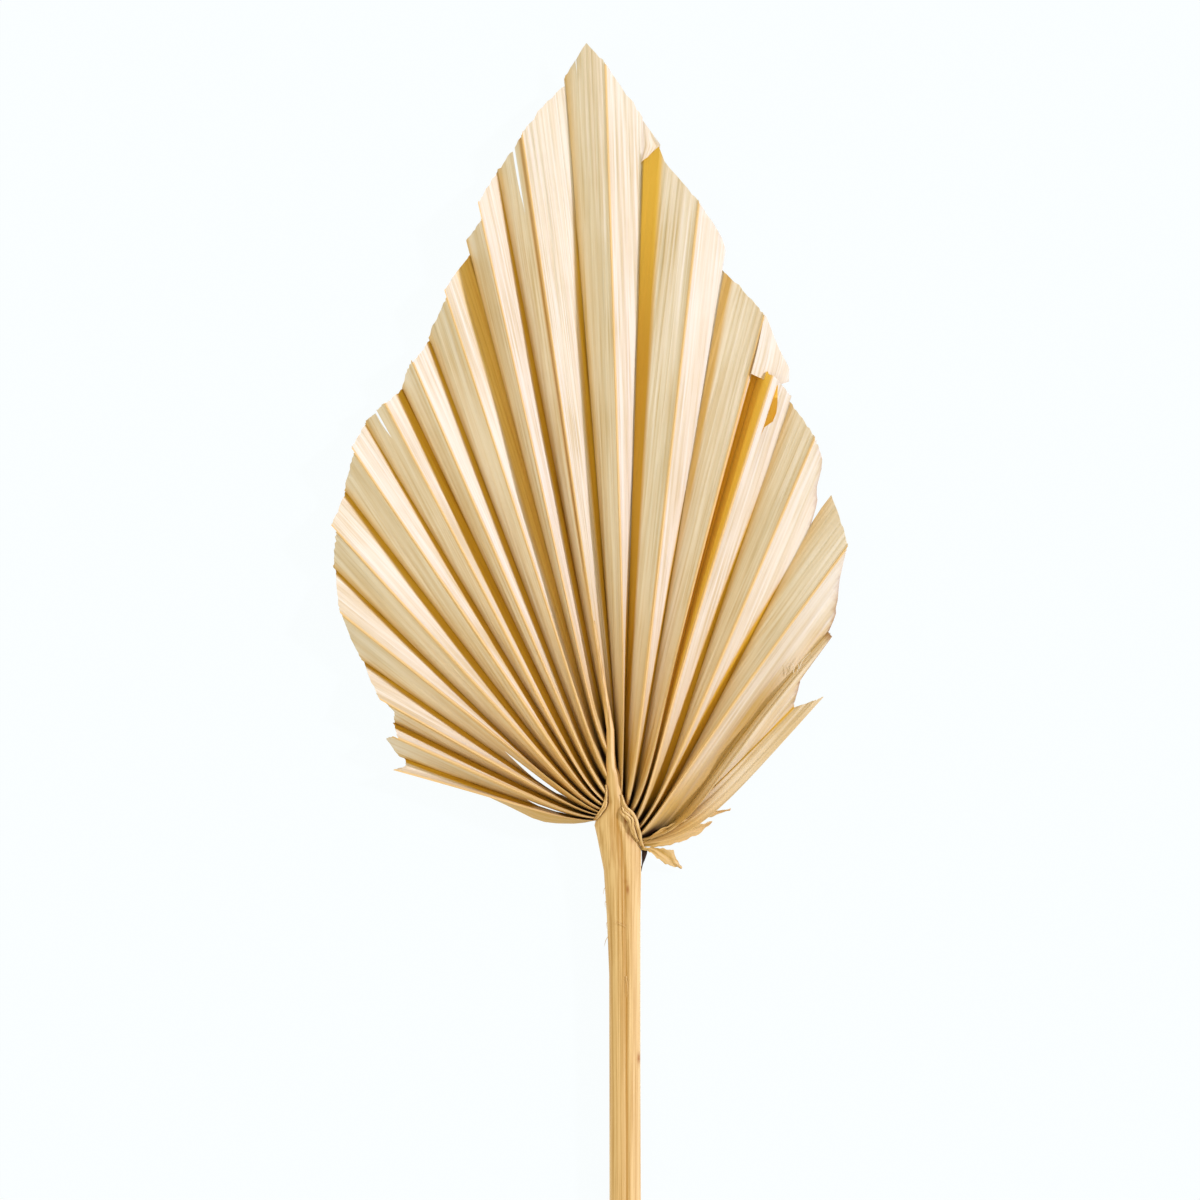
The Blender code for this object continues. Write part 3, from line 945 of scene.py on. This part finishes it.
# ---- operators
class LEAF_OT_blade(bpy.types.Operator):
    """Builds the pleated blade, one sheet from the stalk to the trimmed margin"""
    bl_idname = "leaf.blade"
    bl_label = "Blade"

    def execute(self, context):
        points, faces, marks = [], [], []
        for n in range(len(FOLDS) - 1):
            build_panel(n, points, faces, marks)
        mesh = merged_mesh("blade_sheet", points, faces, marks)
        if len(mesh.polygons) < 1000:
            raise RuntimeError("the blade has no sheet")
        link("blade_sheet", mesh, dried_lamina(), "blade")
        return {"FINISHED"}


def skin_rings(bm, rings):
    """Joins rings of points into a closed tube with a flat cap at each end."""
    around = len(rings[0])
    for a, b in zip(rings, rings[1:]):
        for k in range(around):
            j = (k + 1) % around
            bm.faces.new((a[k], a[j], b[j], b[k]))
    bm.faces.new(rings[0])
    bm.faces.new(rings[-1])


def stalk_station(y, around):
    """One ring of the stalk's skin: points in mm, the shade painted along the groove at each, and its scar.
    """
    table = np.array(STALK)
    left, right, low, high = (np.interp(y, table[:, 0], table[:, k]) for k in (1, 2, 3, 4))
    mid, width, widest = (left + right) / 2.0, right - left, high - (high - low) * 0.5
    keel = 0.12 + 0.02 * math.sin(y / 17.0)
    flat = float(ramp(np.array(y), -12.0, 20.0))
    ring = []
    for k in range(around):
        turn = 2.0 * math.pi * k / around
        c, s = math.cos(turn), math.sin(turn)
        x = math.copysign(abs(c) ** BOXY, c)
        up = math.copysign(abs(s) ** BOXY, s)
        top = max(up, 0.0)
        cleft = math.exp(-((x - keel) / 0.09) ** 2) * top * (1.0 - flat)
        z = widest + up * ((high - widest) if up > 0 else (widest - low))
        z += (KEEL * (1.0 - abs(x - keel)) - KEEL) * top
        z -= KEEL * cleft
        # painted shade along the keel's groove, and in a band just left of it
        groove_shade = 0.8 * cleft + 0.35 * top * math.exp(-((x + 0.1) / 0.12) ** 2)
        scar_and_shade = 0.0
        for sx, sy, wide, tall, dark in SCARS:
            off = ((mid + x * width / 2 - sx) / wide) ** 2 + ((y - sy) / tall) ** 2
            scar_and_shade = max(scar_and_shade, dark * math.exp(-off) * smooth(np.array(up * 4.0)))
        ring.append(((mid + x * width / 2, y, z), groove_shade, float(scar_and_shade)))
    return ring


class LEAF_OT_stalk(bpy.types.Operator):
    """Builds the stalk with its keel, and the finger that runs on over the fan's foot"""
    bl_idname = "leaf.stalk"
    bl_label = "Stalk"

    def execute(self, context):
        low, bend, top = STALK[0][0], -40.0, STALK[-1][0]
        ys = np.concatenate((np.linspace(low, bend, 240), np.linspace(bend + 0.4, top, 200)))
        bm = bmesh.new()
        rings, grooves, scars = [], [], []
        for y in ys:
            station = stalk_station(y, 112)
            rings.append([bm.verts.new(Vector(HUB) + Vector(point) * MM) for point, _, _ in station])
            grooves += [groove_shade for _, groove_shade, _ in station]
            scars += [scar_and_shade for _, _, scar_and_shade in station]
        skin_rings(bm, rings)
        mesh = mesh_from(bm, "stalk")
        set_values(mesh, "groove_shade", grooves)
        set_values(mesh, "scar_and_shade", scars)
        mesh.set_sharp_from_angle(angle=math.radians(60))
        link("stalk", mesh, dried_stalk(), "petiole")
        return {"FINISHED"}


def strip_mesh(name, low, high, rows, cols, crumple=0.0, ragged=0.0, amber_glow=0.0, honey_and_shade=0.0, foot=0.0):
    """A thin sheet between two broken lines, crumpled, ragged and tinted with honey colour and a painted
    amber glow by so much, with painted shade toward its foot: golden, and dark right at the foot."""
    points, faces, marks = [], [], []
    phase = rng.uniform(0.0, TURN, 6)
    for r in range(rows + 1):
        v = r / rows
        a, b = broken_line(low, v), broken_line(high, v)
        across = float(np.linalg.norm((b - a)[:2]))
        tear = ragged * (math.sin(31.0 * v + phase[3]) + 0.7 * math.sin(57.0 * v + phase[4]))
        # painted shade toward the foot
        gold_and_shade = honey_and_shade + foot * (0.9 - honey_and_shade) * math.exp(-v / 0.3)
        dark = 0.6 * foot * math.exp(-v / 0.08)
        for c in range(cols + 1):
            u = c / cols
            p = a + (b - a) * u
            lumps = math.sin(5.0 * u + phase[0]) * math.sin(7.0 * v + phase[1])
            lumps += 0.5 * math.sin(11.0 * u + 9.0 * v + phase[2])
            p[2] += crumple * lumps * min(1.0, 6.0 * v)
            p[1] += tear * min(1.0, 5.0 * v) * (2.0 * u - 1.0)
            points.append(tuple(p))
            marks.append((0.0, gold_and_shade, dark, amber_glow, 0.0, across * u, STRIP_GRAIN * v, STRIP_NUMBER))
    for r in range(rows):
        for c in range(cols):
            k = r * (cols + 1) + c
            faces.append([k, k + 1, k + cols + 2, k + cols + 1])
    return merged_mesh(name, points, faces, marks)


class LEAF_OT_scraps(bpy.types.Operator):
    """Builds the torn scraps, the hem, the lit corners and the sheet behind the torn flap"""
    bl_idname = "leaf.scraps"
    bl_label = "Scraps"

    def execute(self, context):
        for name, (low, high) in SCRAPS.items():
            # the scraps carry honey colour, with painted shade toward their feet
            mesh = strip_mesh(name + "_sheet", low, high, 40, 14,
                              crumple=0.28, ragged=0.12, honey_and_shade=0.6, foot=1.0)
            whole = "blade" if name == "scrap_strip" else name
            link(name + "_sheet", mesh, dried_lamina(), whole)
        # the hem lies in shade: honey colour painted on it, darker at its foot
        lowest_fold = [tuple(point) for point in fold_path(0, np.linspace(0.0, 33.5, 24))]
        mesh = strip_mesh("hem_sheet", HEM, lowest_fold, 60, 10, honey_and_shade=0.62, foot=1.0)
        link("hem_sheet", mesh, dried_lamina(), "blade")
        for name, (low, high) in CORNERS.items():
            link(name, strip_mesh(name, low, high, 40, 16), dried_lamina(), "blade")
        # painted glow: the sheet behind the hole gets a strong amber glow
        mesh = strip_mesh("tongue_sheet", *TONGUE, 30, 20, crumple=0.05, ragged=0.12, amber_glow=4.0)
        link("tongue_sheet", mesh, dried_lamina(), "blade")
        return {"FINISHED"}


def path_along(points, steps, passes):
    """A broken line as even steps, its corners rounded in this many passes."""
    path = np.array([broken_line(points, k / steps) for k in range(steps + 1)])
    for _ in range(passes):
        path[1:-1] = (path[:-2] + path[1:-1] + path[2:]) / 3.0
    return path


def tube(bm, path, radii, around, squeeze=1.0):
    """Sweeps a closed tube along a path of points in mm."""
    rings = []
    for k, point in enumerate(path):
        before, after = path[max(0, k - 1)], path[min(len(path) - 1, k + 1)]
        forward = Vector(after - before).normalized()
        side = forward.cross(Vector((0.0, 0.0, 1.0)))
        side = side.normalized() if side.length > TINY else Vector((1.0, 0.0, 0.0))
        up = side.cross(forward)
        ring = []
        for j in range(around):
            turn = 2.0 * math.pi * j / around
            off = side * math.cos(turn) * radii[k] + up * math.sin(turn) * radii[k] * squeeze
            ring.append(bm.verts.new(Vector(HUB) + (Vector(point) + off) * MM))
        rings.append(ring)
    skin_rings(bm, rings)


class LEAF_OT_crests(bpy.types.Operator):
    """Builds the crumpled crests where the ribs run into the stalk"""
    bl_idname = "leaf.crests"
    bl_label = "Crests"

    def execute(self, context):
        around = 14  # points round a strand
        for name, (points, strands, thick, spread) in CRESTS.items():
            bm = bmesh.new()
            base = path_along(points, 110, 6)
            t = np.linspace(0.0, 1.0, len(base))
            along = np.gradient(base[:, :2], axis=0)
            along /= np.linalg.norm(along, axis=1)[:, None]
            for strand in range(strands):
                phase = rng.uniform(0.0, TURN, 6)
                lane = (strand + 0.5) / strands - 0.5
                path = base.copy()
                weave = 1.5 * lane + 0.3 * np.sin(7.0 * t + phase[0]) + 0.08 * np.sin(19.0 * t + phase[1])
                path[:, 0] += along[:, 1] * spread * weave
                path[:, 1] -= along[:, 0] * spread * weave
                path[:, 2] += 0.2 * np.sin(9.0 * t + phase[2]) + 0.06 * np.sin(27.0 * t + phase[3])
                path[:, 2] -= 1.2 * lane * spread
                radii = thick * (0.2 + 0.8 * np.sin(np.pi * t) ** 0.4)
                radii *= 1.0 + 0.2 * np.sin(11.0 * t + phase[4]) + 0.07 * np.sin(31.0 * t + phase[5])
                tube(bm, path, radii, around, 0.85)
            mesh = mesh_from(bm, name)
            up = np.sin(2.0 * math.pi * (np.arange(len(mesh.vertices)) % around) / around)
            # painted shade: the strands are darker on their lower sides
            set_values(mesh, "scar_and_shade", smooth((0.55 - up) / 0.9))
            link(name, mesh, dried_stalk(), "petiole")
        return {"FINISHED"}


class LEAF_OT_fibres(bpy.types.Operator):
    """Builds the loose fibres and the dark splinter beside the stalk"""
    bl_idname = "leaf.fibres"
    bl_label = "Fibres"

    def execute(self, context):
        for name, mat, whole, slot, threads in (
                ("pale_fibres", dried_lamina(), "blade", "dry_blade", PALE_FIBRES),
                ("stalk_hairs", dried_stalk(), "petiole", "dry_stalk", STALK_HAIRS)):
            bm = bmesh.new()
            for points, thick in threads:
                path = path_along(points, 24, 3)
                radii = thick * (1.0 - 0.75 * np.linspace(0.0, 1.0, len(path)) ** 2)
                tube(bm, path, radii, 8)
            link(name, mesh_from(bm, name), mat, whole)
        bm = bmesh.new()
        path = path_along(SPLINTER, 30, 0)
        t = np.linspace(0.0, 1.0, len(path))
        radii = 0.15 + 0.75 * np.sin(np.pi * np.minimum(1.0, t * 1.25 + 0.1)) ** 0.8 * (1.0 - t)
        tube(bm, path, radii, 16, 0.8)
        link("splinter", mesh_from(bm, "splinter"), dark_splinter(), "petiole")
        return {"FINISHED"}


def add_sun(name, energy, spread, tint, azimuth, elevation):
    """A broad, distant lamp, placed by its compass angle and height in degrees."""
    light = bpy.data.lights.new(name, "SUN")
    light.energy = energy
    light.angle = math.radians(spread)
    light.color = tint
    lamp = bpy.data.objects.new(name, light)
    flat, lift = heading(azimuth) * math.cos(math.radians(elevation)), math.sin(math.radians(elevation))
    lamp.rotation_euler = Vector((flat[0], flat[1], lift)).to_track_quat("Z", "Y").to_euler()
    bpy.context.scene.collection.objects.link(lamp)


class LEAF_OT_stage(bpy.types.Operator):
    """Lays the pale table, hangs the lights and looks straight down on the leaf"""
    bl_idname = "leaf.stage"
    bl_label = "Stage"

    def execute(self, context):
        scene = context.scene
        mesh = bpy.data.meshes.new("table")
        corners = [(x * TABLE_HALF, y * TABLE_HALF, 0) for x, y in ((-1, -1), (1, -1), (1, 1), (-1, 1))]
        mesh.from_pydata(corners, [], [(0, 1, 2, 3)])
        mesh.materials.append(light_table())
        table = bpy.data.objects.new("table", mesh)
        table.location.z = CAD_LOW[2] - TABLE_GAP
        scene.collection.objects.link(table)
        add_sun("key", **KEY_SUN)
        add_sun("fill", **FILL_SUN)

        world = bpy.data.worlds.new("studio")
        world.use_nodes = True
        back = world.node_tree.nodes["Background"]
        back.inputs["Color"].default_value = SKY
        back.inputs["Strength"].default_value = SKY_STRENGTH
        scene.world = world
        scene.view_settings.view_transform = "Standard"

        cam = bpy.data.cameras.new("camera")
        cam.sensor_width = SENSOR
        cam.lens = LENS
        eye = bpy.data.objects.new("camera", cam)
        eye.location = Vector(HUB) + Vector((*VIEW_CENTRE, VIEW_HEIGHT + VIEW_SPAN * LENS / SENSOR))
        scene.collection.objects.link(eye)
        scene.camera = eye
        if scene.camera is None:
            raise RuntimeError("no camera")
        return {"FINISHED"}


class LEAF_PT_panel(bpy.types.Panel):
    """Lists the leaf's steps in the sidebar"""
    bl_idname = "LEAF_PT_panel"
    bl_label = "Palm Leaf"
    bl_space_type = "VIEW_3D"
    bl_region_type = "UI"
    bl_category = "Palm Leaf"

    def draw(self, context):
        for step in STEPS:
            self.layout.operator(step.bl_idname)


STEPS = (LEAF_OT_blade, LEAF_OT_stalk, LEAF_OT_scraps, LEAF_OT_crests, LEAF_OT_fibres, LEAF_OT_stage)
CLASSES = (LeafSizes, LeafColours) + STEPS + (LEAF_PT_panel,)


def register():
    for item in CLASSES:
        bpy.utils.register_class(item)
    bpy.types.Scene.leaf_sizes = bpy.props.PointerProperty(type=LeafSizes)
    bpy.types.Scene.leaf_colours = bpy.props.PointerProperty(type=LeafColours)


def unregister():
    del bpy.types.Scene.leaf_colours
    del bpy.types.Scene.leaf_sizes
    for item in reversed(CLASSES):
        bpy.utils.unregister_class(item)


def main():
    register()
    bpy.ops.leaf.blade()
    bpy.ops.leaf.stalk()
    bpy.ops.leaf.scraps()
    bpy.ops.leaf.crests()
    bpy.ops.leaf.fibres()
    bpy.ops.leaf.stage()
    bpy.context.view_layer.update()


if __name__ == "__main__":
    main()
